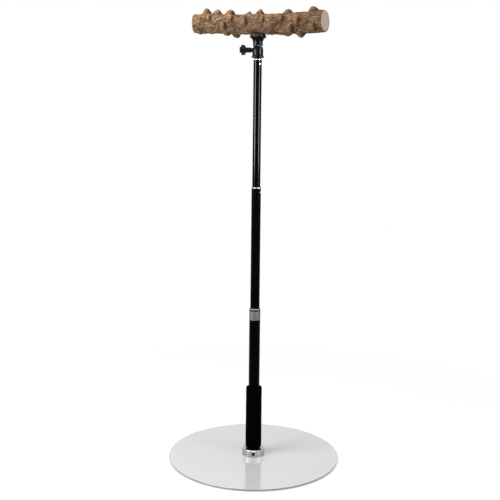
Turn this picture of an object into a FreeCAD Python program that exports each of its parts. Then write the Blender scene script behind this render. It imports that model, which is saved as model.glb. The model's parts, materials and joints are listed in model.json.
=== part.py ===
"""Parrot play stand: steel base, telescopic pole, ball head and a natural branch perch.

Frame: millimetres, +Z up, origin on the floor on the pole's axis, branch along X with
its cut end at +X. Azimuths are degrees about Z from +X.
"""
import FreeCAD, Part
import math
import os

# ---- Base --------------------------------------------------------------------------
BASE_DIAMETER = 406.0
BASE_THICKNESS = 4.0
BASE_EDGE_CHAMFER = 0.6
PAD_COUNT = 6
PAD_DIAMETER = 20.0
PAD_THICKNESS = 1.5
PAD_INSET = 24.0                # rim to the centre of a pad

COLLAR_DIAMETER = 54.0
COLLAR_HEIGHT = 16.0
COLLAR_CHAMFER = 1.0
COLLAR_MOUTH_DEPTH = 3.8        # cone that the grip's round end sits in
SET_SCREW_DIAMETER = 8.0
SET_SCREW_HEIGHT = 8.0          # above the plate
SET_SCREW_LENGTH = 12.0
SET_SCREW_HEX = 4.0             # across the flats, and as deep
SET_SCREW_AZIMUTH = -65.0
BASE_SCREW_COUNT = 3
BASE_SCREW_DIAMETER = 5.0
BASE_SCREW_HEAD = 10.0
BASE_SCREW_HEX = 2.6            # across the flats, and as deep
BASE_SCREW_DEPTH = 10.0         # thread in the collar
BASE_SCREW_CIRCLE = 40.0

# ---- Pole --------------------------------------------------------------------------
LOWER_TUBE_DIAMETER = 26.0
LOWER_TUBE_WALL = 1.0
LOWER_TUBE_LENGTH = 355.0
MIDDLE_TUBE_DIAMETER = 22.0
MIDDLE_TUBE_WALL = 0.8
MIDDLE_TUBE_SHOWS = 283.3       # above the lower mouth ring, at rest
UPPER_TUBE_DIAMETER = 19.0
UPPER_TUBE_WALL = 0.8
UPPER_TUBE_SHOWS = 287.6        # above the middle mouth ring, at rest
INNER_TUBE_DIAMETER = 16.0
INNER_TUBE_WALL = 0.8
INNER_TUBE_SHOWS = 2.7          # above the upper mouth ring, pushed in
INNER_TUBE_LENGTH = 296.0
MIDDLE_OVERLAP = 45.0           # tube inside the next larger one, at rest
UPPER_OVERLAP = 30.0
FOOT_PLUG_LENGTH = 20.0
FOOT_GAP = 0.5                  # tube end to plate

RING_HEIGHT = 2.6
RING_LIP = 0.2                  # ring proud of its tube
RING_BEVEL = 1.3
RING_SPIGOT = 14.0
RIVET_DROP = 9.5                # tube end to rivet centre
RIVET_HEAD_DIAMETER = 4.8
RIVET_HEAD_HEIGHT = 1.0
RIVET_CROWN = 0.8
RIVET_SHANK = 3.0
LOWER_RIVET_AZIMUTH = 115.0
MIDDLE_RIVET_AZIMUTH = 5.0
UPPER_RIVET_AZIMUTH = -30.0

LOCK_PLUG_LENGTH = 8.0          # spindle inside its tube
LOCK_FLANGE = 1.5
LOCK_SHOE_LENGTH = 11.0
LOCK_SPINDLE_DIAMETER = 6.0
LOCK_CONE_RISE = 1.6            # spindle's cone, added to its radius at the flange
LOCK_SLIT = 1.5

GRIP_BOTTOM_DIAMETER = 39.0
GRIP_TOP_DIAMETER = 38.4
GRIP_TOP_HEIGHT = 168.0         # above the plate
GRIP_END_RADIUS = 12.0
GRIP_TOP_RADIUS = 3.0
BAND_DROP = 3.0                 # tube end to the band's top
BAND_HEIGHT = 21.5
BAND_THICKNESS = 0.25           # with the glue under it

# ---- Ball head (heights from the ball's centre) -------------------------------------
HEAD_FOOT_DIAMETER = 29.0
HEAD_FOOT_HEIGHT = 4.5
HEAD_FOOT_RIM = 1.8
HEAD_FOOT_SPIGOT = 2.0
HOUSING_DIAMETER = 24.8
HOUSING_BORE = 20.6
HOUSING_DEPTH = 12.0            # ball centre to the housing's foot
BALL_DIAMETER = 17.0
BALL_NECK_DIAMETER = 7.0
BALL_MOUTH_ANGLE = 46.0         # half angle of the dome's mouth
NOTCH_WIDTH = 11.0
NOTCH_FLOOR = -1.0
NOTCH_AZIMUTH = -10.0
SEAT_TOP = -4.2
SEAT_THICKNESS = 5.4
SEAT_EYE_DIAMETER = 6.0
SHOE_DIAMETER = 6.0
SHOE_RECESS = 0.6               # pocket in the housing's wall
SHOE_GAP = 0.2                  # to the ball, with the knob slack
COLLAR_FOOT = 9.4               # stem collar's underside
STEM_COLLAR_DIAMETER = 22.4
STEM_CONE_START = 19.1
STEM_CONE_TOP = 26.3
STEM_CONE_DIAMETER = 29.0
STEM_NECK_DEPTH = 11.0          # neck inside the collar
PLATFORM_DIAMETER = 38.0
PLATFORM_THICKNESS = 6.2
PLATFORM_CHAMFER = 1.2
FLUTE_COUNT = 16
FLUTE_DIAMETER = 5.0
FLUTE_DEPTH = 0.9
RUBBER_THICKNESS = 2.9
RUBBER_DIAMETER = 35.0
PERCH_STUD_DIAMETER = 6.35
PERCH_STUD_DEPTH = 12.0         # in the branch
INSERT_DIAMETER = 10.0
INSERT_LENGTH = 14.0
HEAD_STUD_DIAMETER = 8.0
HEAD_STUD_RISE = 4.2
HEAD_PLUG_LENGTH = 15.0
HEAD_PIN_DIAMETER = 3.0
HEAD_PIN_DROP = 9.5
GRUB_DIAMETER = 3.0
GRUB_LENGTH = 8.0
GRUB_HEX = 1.5                  # across the flats, and as deep
GRUB_RISE = 2.1                 # above the foot's underside
GRUB_AZIMUTH = -125.0

ARM_AZIMUTH = -150.0
BOSS_DIAMETER = 9.0
BOSS_REACH = 14.5
SHANK_INNER_DIAMETER = 11.0
SHANK_OUTER_DIAMETER = 12.0
SHANK_END = 30.0                # from the pole's axis
HUB_DIAMETER = 12.6
HUB_LENGTH = 11.5
HUB_EDGE = 1.2
WING_LENGTH = 13.0
WING_WIDTH = 10.5
WING_THICKNESS = 3.6
WING_TIP_RADIUS = 3.6
WING_SWEEP = 20.0               # towards the housing
WING_TURN = 28.0                # wings about the shank's axis
KNOB_CAP_DIAMETER = 5.6
KNOB_CAP_HEIGHT = 0.8
CAP_DEPTH = 2.0                 # hub end to the screw's end
LOCK_SCREW_DIAMETER = 5.0

# ---- Branch ------------------------------------------------------------------------
BRANCH_SEAT_DEPTH = 1.0         # flat milled in the branch's underside
BRANCH_POCKET_DIAMETER = 41.0
BRANCH_RADIUS = 22.0            # over the platform
# x, rise of the centre line, and radius over BRANCH_RADIUS
BRANCH_STATIONS = [
    (-178.0, 11.8, 0.975), (-155.0, 10.7, 0.975), (-125.0, 9.0, 0.97), (-65.0, 4.6, 0.98),
    (0.0, 0.0, 1.0), (75.0, -2.2, 1.02), (130.0, -2.4, 1.035), (166.0, -1.2, 1.045),
]
# x, turn about the branch from its top towards -Y, height, base radius
BRANCH_KNOBS = [
    (-128.0, 8.0, 10.5, 13.0), (-98.0, 10.0, 9.4, 12.0), (-66.0, 8.0, 9.4, 12.5),
    (-20.0, 5.0, 3.2, 9.0), (9.0, 12.0, 9.0, 11.0), (77.0, 6.0, 9.5, 12.5),
    (136.0, 2.0, 11.0, 13.5), (-53.0, 184.0, 10.5, 10.5), (-75.0, 174.0, 5.0, 10.0),
    (75.0, 187.0, 4.5, 12.0), (107.0, 176.0, 9.0, 12.5), (-146.0, 166.0, 4.0, 10.0),
    (-115.0, 62.0, 8.2, 10.5), (-77.0, 104.0, 9.6, 10.6), (-58.0, 66.0, 7.0, 8.5),
    (-24.0, 80.0, 9.6, 12.0), (20.0, 72.0, 7.2, 9.5), (65.0, 70.0, 7.0, 9.5),
    (104.0, 82.0, 9.0, 11.0), (86.0, 126.0, 9.6, 12.0), (140.0, 124.0, 8.0, 13.0),
    (-128.0, -70.0, 7.0, 10.0), (-84.0, -100.0, 6.0, 10.0), (-40.0, -62.0, 7.5, 10.5),
    (12.0, -98.0, 6.0, 10.0), (52.0, -60.0, 7.0, 10.0), (95.0, -105.0, 7.0, 11.0),
    (150.0, -80.0, 8.5, 11.0),
]
# x, and slant about Z, of the two sawn ends
LEFT_CUT = (-166.5, 16.0)
RIGHT_CUT = (160.5, -4.5)
KNOB_TIP_SHARE = 0.22           # tip radius over base radius
KNOB_ROOT = 1.5                 # how far a knob's foot lies under the bark

# ---- Clearances --------------------------------------------------------------------
RUNNING = 0.10                  # radial, between pieces that move on each other
SEATED = 0.05                   # radial, between fixed pieces
SKIN_GAP = 0.30                 # between curved faces that pass each other
EDGE = 0.4                      # small broken edge

OUT = "parts"
ORIGIN = FreeCAD.Vector(0, 0, 0)
UP = FreeCAD.Vector(0, 0, 1)


def point(r, z):
    """Point of a turned outline: radius and height."""
    return FreeCAD.Vector(r, 0, z)


def turned(start, *sides):
    """Solid of revolution about Z. A side is (r, z), or (r, z, through_r, through_z) for an arc."""
    edges = []
    here = point(*start)
    for side in sides + (start,):
        there = point(side[0], side[1])
        if len(side) == 4:
            edges.append(Part.Arc(here, point(side[2], side[3]), there).toShape())
        elif there.distanceToPoint(here) > 1e-6:
            edges.append(Part.LineSegment(here, there).toShape())
        here = there
    face = Part.Face(Part.Wire(edges))
    return face.revolve(ORIGIN, UP, 360)


def rod(diameter, z0, z1, chamfer=0.0):
    """Upright cylinder between two heights, with an optional chamfer at both ends."""
    r = diameter / 2
    c = chamfer
    if c == 0.0:
        return Part.makeCylinder(r, z1 - z0, FreeCAD.Vector(0, 0, z0))
    return turned((0, z0), (r - c, z0), (r, z0 + c), (r, z1 - c), (r - c, z1), (0, z1))


def sleeve(outer, inner, z0, z1):
    """Upright tube between two heights."""
    return rod(outer, z0, z1).cut(rod(inner, z0 - 1, z1 + 1))


def turn(shape, azimuth, centre=ORIGIN, axis=UP):
    """Copy of a shape, turned about an axis."""
    copy = shape.copy()
    copy.rotate(centre, axis, azimuth)
    return copy


def raised(shape, height):
    """Copy of a shape, lifted by a height."""
    copy = shape.copy()
    copy.translate(FreeCAD.Vector(0, 0, height))
    return copy


def radial(shape, azimuth, height):
    """Lay a shape made along +Z so that it points outwards at an azimuth and a height."""
    laid = turn(shape, 90, ORIGIN, FreeCAD.Vector(0, 1, 0))
    return raised(turn(laid, azimuth), height)


def ball_height_at(radius, r):
    """Height on a sphere of a radius at a distance from its axis."""
    return math.sqrt(radius ** 2 - r ** 2)


def hex_socket(across, z0, z1):
    """Upright hexagonal prism, by its width across flats."""
    corner = across / math.sqrt(3)
    corners = [FreeCAD.Vector(corner * math.cos(math.radians(60 * i)),
                              corner * math.sin(math.radians(60 * i)), z0) for i in range(7)]
    return Part.Face(Part.makePolygon(corners)).extrude(FreeCAD.Vector(0, 0, z1 - z0))


# ---- Heights along the pole ----------------------------------------------------------
plate_bottom = PAD_THICKNESS
plate_top = plate_bottom + BASE_THICKNESS
collar_top = plate_top + COLLAR_HEIGHT
tube_foot = plate_top + FOOT_GAP
lower_top = tube_foot + LOWER_TUBE_LENGTH
middle_top = lower_top + RING_HEIGHT + MIDDLE_TUBE_SHOWS
middle_foot = lower_top - MIDDLE_OVERLAP
upper_top = middle_top + RING_HEIGHT + UPPER_TUBE_SHOWS
upper_foot = middle_top - UPPER_OVERLAP
inner_top = upper_top + RING_HEIGHT + INNER_TUBE_SHOWS
inner_foot = inner_top - INNER_TUBE_LENGTH
ball_centre = inner_top + HEAD_FOOT_HEIGHT + HOUSING_DEPTH
seat_height = ball_centre + STEM_CONE_TOP + PLATFORM_THICKNESS + RUBBER_THICKNESS
branch_axis = seat_height + BRANCH_RADIUS - BRANCH_SEAT_DEPTH


def base_screw_places():
    """Azimuths of the screws that hold the collar, clear of the set screw."""
    step = 360.0 / BASE_SCREW_COUNT
    return [SET_SCREW_AZIMUTH + step * (i + 0.5) for i in range(BASE_SCREW_COUNT)]


def at_circle(shape, circle, azimuth):
    """Copy of a shape on a circle's diameter at an azimuth."""
    copy = shape.copy()
    copy.translate(FreeCAD.Vector(circle / 2, 0, 0))
    return turn(copy, azimuth)


def base_screw(gap):
    """Countersunk screw from under the plate, grown by a gap."""
    r = BASE_SCREW_DIAMETER / 2 + gap
    head = BASE_SCREW_HEAD / 2 + gap
    top = plate_top + BASE_SCREW_DEPTH + gap
    return turned((0, plate_bottom), (head, plate_bottom), (r, plate_bottom + head - r), (r, top), (0, top))


def make_base():
    """Plate, pads, collar and their screws."""
    plate = rod(BASE_DIAMETER, plate_bottom, plate_top, BASE_EDGE_CHAMFER)
    mouth = LOWER_TUBE_DIAMETER / 2 + RUNNING
    rim = mouth + COLLAR_MOUTH_DEPTH
    c = COLLAR_CHAMFER
    outer = COLLAR_DIAMETER / 2
    collar = turned((mouth, plate_top), (outer - c, plate_top), (outer, plate_top + c),
                    (outer, collar_top - c), (outer - c, collar_top), (rim, collar_top),
                    (mouth, collar_top - COLLAR_MOUTH_DEPTH))
    screws = []
    for azimuth in base_screw_places():
        hole = at_circle(base_screw(SEATED), BASE_SCREW_CIRCLE, azimuth)
        plate = plate.cut(hole)
        collar = collar.cut(hole)
        screw = base_screw(0.0).cut(hex_socket(BASE_SCREW_HEX, plate_bottom, plate_bottom + BASE_SCREW_HEX))
        screws.append(at_circle(screw, BASE_SCREW_CIRCLE, azimuth))
    tip = LOWER_TUBE_DIAMETER / 2 + SEATED
    set_height = plate_top + SET_SCREW_HEIGHT
    bore = rod(SET_SCREW_DIAMETER + 2 * SEATED, 0, COLLAR_DIAMETER)
    collar = collar.cut(radial(bore, SET_SCREW_AZIMUTH, set_height))
    end = tip + SET_SCREW_LENGTH
    screw = rod(SET_SCREW_DIAMETER, tip, end, EDGE)
    screw = screw.cut(hex_socket(SET_SCREW_HEX, end - SET_SCREW_HEX, end + 1))
    pads = []
    for i in range(PAD_COUNT):
        pad = turned((0, 0), (PAD_DIAMETER / 2 - EDGE, 0), (PAD_DIAMETER / 2, EDGE),
                     (PAD_DIAMETER / 2, PAD_THICKNESS), (0, PAD_THICKNESS))
        pads.append(at_circle(pad, BASE_DIAMETER - 2 * PAD_INSET, 360.0 * i / PAD_COUNT))
    return {"base_plate": plate, "base_pads": Part.makeCompound(pads), "pole_collar": collar,
            "collar_screws": Part.makeCompound(screws),
            "collar_set_screw": radial(screw, SET_SCREW_AZIMUTH, set_height)}


def button(radius, foot, top, crown):
    """Upright pin from a foot to a spherical crown of a height."""
    sphere = (radius ** 2 + crown ** 2) / (2 * crown)
    half = math.asin(radius / sphere) / 2
    rim = top - crown
    return turned((0, foot), (radius, foot), (radius, rim),
                  (0, top, sphere * math.sin(half), top - sphere * (1 - math.cos(half))))


def rivet(tube_diameter, spigot_bore, azimuth, height):
    """Round-headed rivet through a tube's wall and its mouth ring's spigot."""
    surface = tube_diameter / 2
    head = button(RIVET_HEAD_DIAMETER / 2, 0, surface + RIVET_HEAD_HEIGHT, RIVET_CROWN)
    head = radial(head, azimuth, height)
    head = head.cut(rod(tube_diameter + SEATED, height - tube_diameter, height + tube_diameter))
    shank = rod(RIVET_SHANK, spigot_bore / 2 + SEATED, surface + RIVET_HEAD_HEIGHT - RIVET_CROWN)
    return head.fuse(radial(shank, azimuth, height))


def mouth_ring(tube_diameter, wall, inner_diameter, top):
    """Bevelled ring on a tube's end, with the spigot that guides the next tube."""
    outer = tube_diameter / 2 + RING_LIP
    bore = inner_diameter / 2 + RUNNING
    spigot = tube_diameter / 2 - wall - SEATED
    high = top + RING_HEIGHT
    return turned((bore, top - RING_SPIGOT), (spigot, top - RING_SPIGOT), (spigot, top),
                  (outer, top), (outer, high - RING_BEVEL), (outer - RING_BEVEL, high), (bore, high))


def mouthed_tube(prefix, diameter, wall, foot, top, next_diameter, azimuth):
    """A tube with its mouth ring and the rivet that holds the ring."""
    height = top - RIVET_DROP
    tube = sleeve(diameter, diameter - 2 * wall, foot, top)
    ring = mouth_ring(diameter, wall, next_diameter, top)
    hole = radial(rod(RIVET_SHANK + 2 * SEATED, 0, diameter), azimuth, height)
    bore = next_diameter + 2 * RUNNING
    return {prefix + "_tube": tube.cut(hole), prefix + "_mouth_ring": ring.cut(hole),
            prefix + "_ring_rivet": rivet(diameter, bore, azimuth, height)}


def twist_lock(prefix, diameter, wall, foot, bore):
    """Spindle in a tube's lower end, and the split shoe that it spreads in the outer bore."""
    inside = diameter / 2 - wall - SEATED
    flange = diameter / 2 - SKIN_GAP
    core = LOCK_SPINDLE_DIAMETER / 2
    wide = core + LOCK_CONE_RISE
    shoe_top = foot - LOCK_FLANGE - RUNNING
    shoe_foot = shoe_top - LOCK_SHOE_LENGTH
    keeper_top = shoe_foot - RUNNING
    keeper_foot = keeper_top - LOCK_FLANGE
    half = (shoe_top + shoe_foot) / 2
    spindle = turned((0, keeper_foot), (wide, keeper_foot), (wide, keeper_top), (core, keeper_top),
                     (core, half), (wide, foot - LOCK_FLANGE), (flange, foot - LOCK_FLANGE),
                     (flange, foot), (inside, foot), (inside, foot + LOCK_PLUG_LENGTH),
                     (0, foot + LOCK_PLUG_LENGTH))
    gap = RUNNING
    slope = (wide - core) / (foot - LOCK_FLANGE - half)
    shoe_wide = core + gap + slope * (shoe_top - half)
    outer = bore / 2 - RUNNING
    shoe = turned((core + gap, shoe_foot), (outer - EDGE, shoe_foot), (outer, shoe_foot + EDGE),
                  (outer, shoe_top - EDGE), (outer - EDGE, shoe_top), (shoe_wide, shoe_top),
                  (core + gap, half))
    slit = Part.makeBox(bore, LOCK_SLIT, LOCK_SHOE_LENGTH + 2,
                        FreeCAD.Vector(0, -LOCK_SLIT / 2, shoe_foot - 1))
    return {prefix + "_lock_spindle": spindle, prefix + "_lock_shoe": shoe.cut(slit)}


def make_grip():
    """Foam sleeve with a round lower end that sits in the collar's cone."""
    inner = LOWER_TUBE_DIAMETER / 2 + RUNNING
    low = GRIP_BOTTOM_DIAMETER / 2
    high = GRIP_TOP_DIAMETER / 2
    top = plate_top + GRIP_TOP_HEIGHT
    end = GRIP_END_RADIUS
    soft = GRIP_TOP_RADIUS
    half = math.sin(math.radians(45))
    cone_rim = inner + COLLAR_MOUTH_DEPTH
    touch_r = low - end + end * half
    touch_z = collar_top - (cone_rim - touch_r)
    foot = touch_z - end * (1 - half) + SKIN_GAP
    start_z = foot + end - math.sqrt(end ** 2 - (inner - (low - end)) ** 2)
    return turned((inner, start_z), (low, foot + end, touch_r, foot + end * (1 - half)),
                  (high, top - soft), (high - soft, top, high - soft * (1 - half), top - soft * (1 - half)),
                  (inner, top))


def make_pole():
    """Foot plug, four tubes with their rings, rivets and locks, grip and band."""
    parts = {}
    lower_bore = LOWER_TUBE_DIAMETER - 2 * LOWER_TUBE_WALL
    middle_bore = MIDDLE_TUBE_DIAMETER - 2 * MIDDLE_TUBE_WALL
    upper_bore = UPPER_TUBE_DIAMETER - 2 * UPPER_TUBE_WALL
    parts["foot_plug"] = rod(lower_bore - 2 * SEATED, tube_foot, tube_foot + FOOT_PLUG_LENGTH, EDGE)
    parts.update(mouthed_tube("lower", LOWER_TUBE_DIAMETER, LOWER_TUBE_WALL, tube_foot, lower_top,
                              MIDDLE_TUBE_DIAMETER, LOWER_RIVET_AZIMUTH))
    parts.update(mouthed_tube("middle", MIDDLE_TUBE_DIAMETER, MIDDLE_TUBE_WALL, middle_foot,
                              middle_top, UPPER_TUBE_DIAMETER, MIDDLE_RIVET_AZIMUTH))
    parts.update(mouthed_tube("upper", UPPER_TUBE_DIAMETER, UPPER_TUBE_WALL, upper_foot,
                              upper_top, INNER_TUBE_DIAMETER, UPPER_RIVET_AZIMUTH))
    parts.update(twist_lock("middle", MIDDLE_TUBE_DIAMETER, MIDDLE_TUBE_WALL, middle_foot, lower_bore))
    parts.update(twist_lock("upper", UPPER_TUBE_DIAMETER, UPPER_TUBE_WALL, upper_foot, middle_bore))
    parts.update(twist_lock("inner", INNER_TUBE_DIAMETER, INNER_TUBE_WALL, inner_foot, upper_bore))
    parts["foam_grip"] = make_grip()
    band_top = lower_top - BAND_DROP
    band = sleeve(LOWER_TUBE_DIAMETER + 2 * BAND_THICKNESS, LOWER_TUBE_DIAMETER + 2 * SEATED,
                  band_top - BAND_HEIGHT, band_top)
    hole = radial(rod(RIVET_HEAD_DIAMETER + 2 * SKIN_GAP, 0, LOWER_TUBE_DIAMETER),
                  LOWER_RIVET_AZIMUTH, lower_top - RIVET_DROP)
    parts["silver_band"] = band.cut(hole)
    return parts


def make_head_mount():
    """Innermost tube, the plug pinned in it, and the head's foot with its grub screw."""
    inside = INNER_TUBE_DIAMETER - 2 * INNER_TUBE_WALL - 2 * SEATED
    pin_height = inner_top - HEAD_PIN_DROP
    pin_hole = rod(HEAD_PIN_DIAMETER + 2 * SEATED, -INNER_TUBE_DIAMETER, INNER_TUBE_DIAMETER)
    pin_hole = radial(pin_hole, 0, pin_height)
    tube = sleeve(INNER_TUBE_DIAMETER, INNER_TUBE_DIAMETER - 2 * INNER_TUBE_WALL, inner_foot, inner_top)
    stud_top = inner_top + HEAD_STUD_RISE
    plug = rod(inside, inner_top - HEAD_PLUG_LENGTH, inner_top)
    plug = plug.fuse(rod(HEAD_STUD_DIAMETER, inner_top - HEAD_PLUG_LENGTH, stud_top)).removeSplitter()
    half_pin = INNER_TUBE_DIAMETER / 2 - SEATED
    pin = radial(rod(HEAD_PIN_DIAMETER, -half_pin, half_pin), 0, pin_height)
    wide = HEAD_FOOT_DIAMETER / 2
    narrow = HOUSING_DIAMETER / 2
    rim = inner_top + HEAD_FOOT_RIM
    top = inner_top + HEAD_FOOT_HEIGHT
    spigot = HOUSING_BORE / 2 - SEATED
    spigot_top = top + HEAD_FOOT_SPIGOT
    foot = turned((0, inner_top), (wide - EDGE, inner_top), (wide, inner_top + EDGE), (wide, rim),
                  (narrow, top, narrow + (wide - narrow) * 0.4, rim + (top - rim) * 0.4),
                  (spigot, top), (spigot, spigot_top), (0, spigot_top))
    foot = foot.cut(rod(HEAD_STUD_DIAMETER + 2 * SEATED, 0, stud_top + SEATED))
    grub_start = HEAD_STUD_DIAMETER / 2 + 2 * SEATED
    grub_end = grub_start + GRUB_LENGTH
    grub = rod(GRUB_DIAMETER, grub_start, grub_end)
    grub = grub.cut(hex_socket(GRUB_HEX, grub_end - GRUB_HEX, grub_end + 1))
    grub_height = inner_top + GRUB_RISE
    grub_hole = radial(rod(GRUB_DIAMETER + 2 * SEATED, 0, HEAD_FOOT_DIAMETER), GRUB_AZIMUTH, grub_height)
    return {"inner_tube": tube.cut(pin_hole), "head_plug": plug.cut(pin_hole), "head_pin": pin,
            "head_foot": foot.cut(grub_hole), "head_grub_screw": radial(grub, GRUB_AZIMUTH, grub_height)}


def make_housing():
    """Domed housing with the boss for the lock screw and the drop notch."""
    outer = HOUSING_DIAMETER / 2
    bore = HOUSING_BORE / 2
    socket = BALL_DIAMETER / 2 + RUNNING
    mouth = math.radians(BALL_MOUTH_ANGLE)
    lip_in = (socket * math.sin(mouth), socket * math.cos(mouth))
    lip_out = (outer * math.sin(mouth), outer * math.cos(mouth))
    bend = math.radians((90 + BALL_MOUTH_ANGLE) / 2)
    shell = turned((bore, -HOUSING_DEPTH), (outer, -HOUSING_DEPTH), (outer, 0),
                   lip_out + (outer * math.sin(bend), outer * math.cos(bend)),
                   lip_in, (socket, 0, socket * math.sin(bend), socket * math.cos(bend)), (bore, 0))
    boss = rod(BOSS_DIAMETER, bore, BOSS_REACH)
    shell = shell.fuse(radial(boss, ARM_AZIMUTH, 0)).removeSplitter()
    pocket = rod(SHOE_DIAMETER + 2 * SEATED, 0, bore + SHOE_RECESS)
    thread = rod(LOCK_SCREW_DIAMETER + 2 * RUNNING, 0, HOUSING_DIAMETER)
    shell = shell.cut(radial(pocket.fuse(thread), ARM_AZIMUTH, 0))
    r = NOTCH_WIDTH / 2
    notch = radial(rod(NOTCH_WIDTH, 0, HOUSING_DIAMETER), 0, NOTCH_FLOOR + r)
    slot = Part.makeBox(HOUSING_DIAMETER, NOTCH_WIDTH, outer, FreeCAD.Vector(0, -r, NOTCH_FLOOR + r))
    shell = shell.cut(turn(notch.fuse(slot), NOTCH_AZIMUTH))
    return raised(shell, ball_centre)


def make_ball_parts():
    """Seat, brake shoe, ball with its neck, and the stout collar on the neck."""
    ball = BALL_DIAMETER / 2
    hollow = ball + RUNNING
    eye = SEAT_EYE_DIAMETER / 2
    lip = ball_height_at(hollow, -SEAT_TOP)
    seat_r = HOUSING_BORE / 2 - RUNNING
    low = SEAT_TOP - SEAT_THICKNESS
    middle = (eye + lip) / 2
    seat = turned((eye, low), (seat_r, low), (seat_r, SEAT_TOP), (lip, SEAT_TOP),
                  (eye, -ball_height_at(hollow, eye), middle, -ball_height_at(hollow, middle)))
    shoe = rod(SHOE_DIAMETER, ball + SHOE_GAP, HOUSING_BORE / 2 + SHOE_RECESS - SEATED)
    neck = BALL_NECK_DIAMETER / 2
    neck_top = COLLAR_FOOT + STEM_NECK_DEPTH
    stem = turned((0, -ball), (neck, ball_height_at(ball, neck), ball, 0), (neck, neck_top - EDGE),
                  (neck - EDGE, neck_top), (0, neck_top))
    dome = HOUSING_DIAMETER / 2 + SKIN_GAP
    edge = ball_height_at(dome, COLLAR_FOOT)
    hole = neck + SEATED
    middle = (hole + edge) / 2
    hole_top = neck_top + SEATED
    stud = PERCH_STUD_DIAMETER / 2 + SEATED
    half = STEM_COLLAR_DIAMETER / 2
    cone = STEM_CONE_DIAMETER / 2
    collar = turned((half, COLLAR_FOOT), (half, STEM_CONE_START), (cone, STEM_CONE_TOP),
                    (stud, STEM_CONE_TOP), (stud, hole_top), (hole, hole_top),
                    (hole, ball_height_at(dome, hole)),
                    (edge, COLLAR_FOOT, middle, ball_height_at(dome, middle)))
    stud_top = seat_height - ball_centre + PERCH_STUD_DEPTH
    perch_stud = rod(PERCH_STUD_DIAMETER, hole_top + SEATED, stud_top, EDGE)
    made = {"ball_seat": seat, "ball_stem": stem, "stem_collar": collar, "perch_stud": perch_stud,
            "brake_shoe": radial(shoe, ARM_AZIMUTH, 0)}
    return {name: raised(shape, ball_centre) for name, shape in made.items()}


def make_platform():
    """Fluted platform disc and its rubber pad, which turn on the perch stud."""
    r = PLATFORM_DIAMETER / 2
    c = PLATFORM_CHAMFER
    low = ball_centre + STEM_CONE_TOP + RUNNING
    top = seat_height - RUBBER_THICKNESS
    hole = PERCH_STUD_DIAMETER / 2 + RUNNING
    disc = turned((hole, low), (r - 2 * c, low), (r, low + 2 * c), (r, top - c), (r - c, top), (hole, top))
    flute = rod(FLUTE_DIAMETER, low - 1, top + 1)
    circle = PLATFORM_DIAMETER + FLUTE_DIAMETER - 2 * FLUTE_DEPTH
    flutes = [at_circle(flute, circle, 360.0 * i / FLUTE_COUNT) for i in range(FLUTE_COUNT)]
    pad_r = RUBBER_DIAMETER / 2
    pad = turned((hole, top), (pad_r, top), (pad_r, seat_height - EDGE), (pad_r - EDGE, seat_height),
                 (hole, seat_height))
    return {"platform_disc": disc.cut(Part.makeCompound(flutes)), "platform_pad": pad}


def make_knob():
    """Lock knob: tapered shank, hub and two swept wings on a steel screw, with a bright cap."""
    start = BOSS_REACH + SKIN_GAP
    hub_end = SHANK_END + HUB_LENGTH
    hub = HUB_DIAMETER / 2
    core = turned((0, start), (SHANK_INNER_DIAMETER / 2, start), (SHANK_OUTER_DIAMETER / 2, SHANK_END),
                  (hub, SHANK_END + EDGE), (hub, hub_end - HUB_EDGE), (hub - HUB_EDGE, hub_end),
                  (0, hub_end))
    wing = Part.makeBox(WING_WIDTH, WING_THICKNESS, WING_LENGTH,
                        FreeCAD.Vector(-WING_WIDTH / 2, -WING_THICKNESS / 2, 0))
    tip_edges = [edge for edge in wing.Edges
                 if edge.BoundBox.ZMin > WING_LENGTH - EDGE and edge.BoundBox.XLength < EDGE]
    wing = wing.makeFillet(WING_TIP_RADIUS, tip_edges)
    wing = turn(wing, 90 + WING_SWEEP, ORIGIN, FreeCAD.Vector(0, 1, 0))
    wing.translate(FreeCAD.Vector(0, 0, (SHANK_END + hub_end) / 2))
    for side in (WING_TURN, WING_TURN + 180):
        core = core.fuse(turn(wing, side))
    screw_end = hub_end - CAP_DEPTH
    bore = rod(LOCK_SCREW_DIAMETER + 2 * SEATED, 0, screw_end + SEATED)
    cap_seat = rod(KNOB_CAP_DIAMETER + 2 * SEATED, screw_end + SEATED, hub_end + 1)
    core = core.removeSplitter().cut(bore.fuse(cap_seat))
    shoe_back = HOUSING_BORE / 2 + SHOE_RECESS
    screw = rod(LOCK_SCREW_DIAMETER, shoe_back + SEATED, screw_end)
    cap = button(KNOB_CAP_DIAMETER / 2, screw_end + 2 * SEATED, hub_end + KNOB_CAP_HEIGHT, KNOB_CAP_HEIGHT)
    made = {"lock_knob": core, "lock_screw": screw, "knob_cap": cap}
    return {name: radial(shape, ARM_AZIMUTH, ball_centre) for name, shape in made.items()}


def branch_at(x):
    """Rise of the centre line and radius of the branch at a distance along it."""
    for (x0, z0, r0), (x1, z1, r1) in zip(BRANCH_STATIONS, BRANCH_STATIONS[1:]):
        if x <= x1:
            share = (x - x0) / (x1 - x0)
            return z0 + share * (z1 - z0), BRANCH_RADIUS * (r0 + share * (r1 - r0))
    return BRANCH_STATIONS[-1][1], BRANCH_RADIUS * BRANCH_STATIONS[-1][2]


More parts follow.
